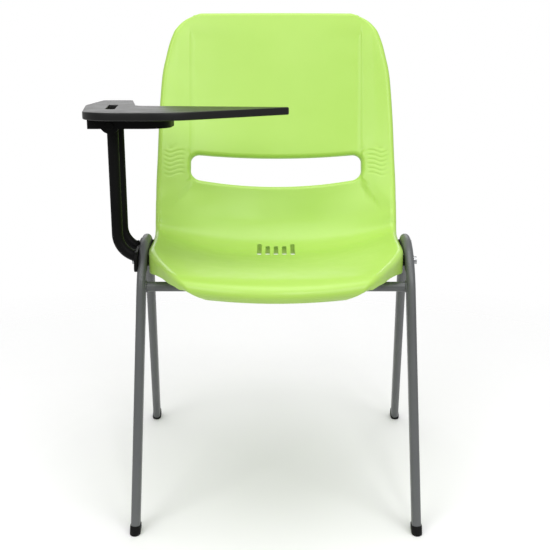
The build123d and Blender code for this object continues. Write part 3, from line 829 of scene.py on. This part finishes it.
def build_tablet():
    """The writing tablet: a flat board with rounded edges and a slot through it."""
    outline, slot = rounded_outline(TABLET_OUTLINE, 14), rounded_outline(TABLET_SLOT, 6)
    top = TABLET_BOTTOM + TABLET_THICKNESS
    model = bmesh.new()

    def loop(flat, z):
        return [model.verts.new(tuple(place(x, y, z) * MM)) for x, y in flat]

    def skin(lower, upper):
        for k in range(len(lower)):
            m = (k + 1) % len(lower)
            model.faces.new((lower[k], lower[m], upper[m], upper[k]))

    def wall(flat, edge, sign):
        """Rounded edge loops from the bottom face to the top face; sign 1 rounds inward, -1 outward."""
        stack = []
        turns = [radians(a) for a in (0, 18, 36, 54, 72, 90)]
        for a in turns:
            stack.append((edge * (1 - sin(a)), TABLET_BOTTOM + edge * (1 - cos(a))))
        for a in reversed(turns):
            stack.append((edge * (1 - sin(a)), top - edge * (1 - cos(a))))
        loops = [loop(inset(flat, sign * d), z) for d, z in stack]
        for lower, upper in zip(loops, loops[1:]):
            skin(lower, upper)
        return loops[0], loops[-1]

    outer, inner = wall(outline, TABLET_EDGE, 1), wall(slot, SLOT_EDGE, -1)
    for level in (0, 1):
        edges = []
        for ring in (outer[level], inner[level]):
            for k in range(len(ring)):
                pair = (ring[k], ring[(k + 1) % len(ring)])
                edges.append(model.edges.get(pair) or model.edges.new(pair))
        bmesh.ops.triangle_fill(model, edges=edges, use_beauty=True, use_dissolve=False)
    bmesh.ops.recalc_face_normals(model, faces=model.faces)
    mesh = bpy.data.meshes.new("tablet")
    model.to_mesh(mesh)
    model.free()
    mesh.shade_smooth()
    mesh.set_sharp_from_angle(angle=radians(50))
    mesh.materials.append(TABLET_BLACK)
    tablet = bpy.data.objects.new("tablet", mesh)
    bpy.context.scene.collection.objects.link(tablet)
    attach(tablet, "tablet")
    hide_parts("tablet_top")


build_tablet()

# ---------------------------------------------------------------- finishes on the CAD nodes
CAD_FINISH = {
    "frame_grey": GREY, "arm_black": ARM_BLACK, "black_plastic": CAP_BLACK, "zinc_steel": ZINC,
    "tablet_black": TABLET_BLACK, "shell_plastic": GREEN,
}
for part in frame["record"]["subparts"]:
    cad = frame["nodes"][part["node"]]
    finish = CAD_FINISH[part["material_slot"]]
    if cad.material_slots:
        for held in cad.material_slots:
            held.material = finish
    else:
        cad.data.materials.append(finish)

# ---------------------------------------------------------------- floor, light and camera
# The floor and the lights are in metres on the frame's axes. The floor fades out between two distances.
FLOOR_REACH, FADE_FROM, FADE_TO = 6, 0.45, 1.5
SOFT_LIGHT = 0.5

# The camera's place is on the chair's axes, in millimetres, and it looks down by CAMERA_DOWN degrees.
CAMERA_AT, CAMERA_DOWN, LENS_MM, SENSOR_MM = (-1.7, -1242, 764), 14.3, 55.1127, 36


def add_floor():
    """A pale floor under the chair, which fades into the white background further out."""
    corners = [(x * FLOOR_REACH, y * FLOOR_REACH, 0) for x, y in ((-1, -1), (1, -1), (1, 1), (-1, 1))]
    mesh = bpy.data.meshes.new("floor")
    mesh.from_pydata(corners, [], [(0, 1, 2, 3)])
    floor = bpy.data.objects.new("floor", mesh)
    bpy.context.scene.collection.objects.link(floor)
    pale = bpy.data.materials.new("pale_floor")
    pale.use_nodes = True
    tree = pale.node_tree
    shader = tree.nodes["Principled BSDF"]
    shader.inputs["Base Color"].default_value = (0.93, 0.93, 0.93, 1)
    shader.inputs["Roughness"].default_value = 0.7
    shader.inputs["Specular IOR Level"].default_value = 0.1
    coords = tree.nodes.new("ShaderNodeTexCoord").outputs["Object"]
    distance = tree.nodes.new("ShaderNodeVectorMath")
    distance.operation = "LENGTH"
    tree.links.new(coords, distance.inputs[0])
    fade = ramp_between(tree, distance.outputs["Value"], FADE_FROM, FADE_TO, 1, 0)
    tree.links.new(fade, shader.inputs["Alpha"])
    mesh.materials.append(pale)


def add_light(name, at, towards, size, power):
    """A soft rectangular light, in metres and watts."""
    lamp = bpy.data.lights.new(name, "AREA")
    lamp.shape = "RECTANGLE"
    lamp.size, lamp.size_y = size
    lamp.energy = power
    light = bpy.data.objects.new(name, lamp)
    bpy.context.scene.collection.objects.link(light)
    light.location = at
    light.rotation_euler = (Vector(towards) - Vector(at)).to_track_quat("-Z", "Y").to_euler()


def add_world():
    """An even soft light all round, in front of which the background itself is white."""
    world = bpy.data.worlds.new("studio")
    bpy.context.scene.world = world
    world.use_nodes = True
    tree = world.node_tree
    soft = tree.nodes["Background"]
    soft.inputs["Color"].default_value = (1, 1, 1, 1)
    soft.inputs["Strength"].default_value = SOFT_LIGHT
    white = tree.nodes.new("ShaderNodeBackground")
    white.inputs["Color"].default_value = (1, 1, 1, 1)
    seen = tree.nodes.new("ShaderNodeLightPath").outputs["Is Camera Ray"]
    mix = tree.nodes.new("ShaderNodeMixShader")
    tree.links.new(seen, mix.inputs["Fac"])
    tree.links.new(soft.outputs["Background"], mix.inputs[1])
    tree.links.new(white.outputs["Background"], mix.inputs[2])
    tree.links.new(mix.outputs["Shader"], tree.nodes["World Output"].inputs["Surface"])


def add_lights():
    add_light("key", (-1.6, -2.3, 2.3), (0, 0, 0.5), (1.5, 1.6), 24)
    add_light("fill", (1.7, -2.2, 2.0), (0, 0, 0.5), (1.5, 1.6), 22)
    add_light("strip", (0.4, -2.15, 1.95), (-0.1, 0.15, 0.75), (0.3, 1.0), 8)
    add_light("top", (0, -0.4, 2.9), (0, 0.1, 0.5), (2.6, 2.2), 46)
    add_light("behind", (-0.3, 3.2, 1.75), (-0.2, 0, 0.69), (3.2, 1.3), 18)


def add_camera():
    """The camera, in front of the chair and a little above the tablet."""
    lens = bpy.data.cameras.new("camera")
    lens.sensor_width = SENSOR_MM
    lens.lens = LENS_MM
    lens.clip_start, lens.clip_end = 0.05, 50
    camera = bpy.data.objects.new("camera", lens)
    bpy.context.scene.collection.objects.link(camera)
    camera.location = place(*CAMERA_AT) * MM
    camera.rotation_euler = (radians(90 - CAMERA_DOWN), 0, 0)
    bpy.context.scene.camera = camera


bpy.context.scene.view_settings.view_transform = "Standard"
add_floor()
add_world()
add_lights()
add_camera()
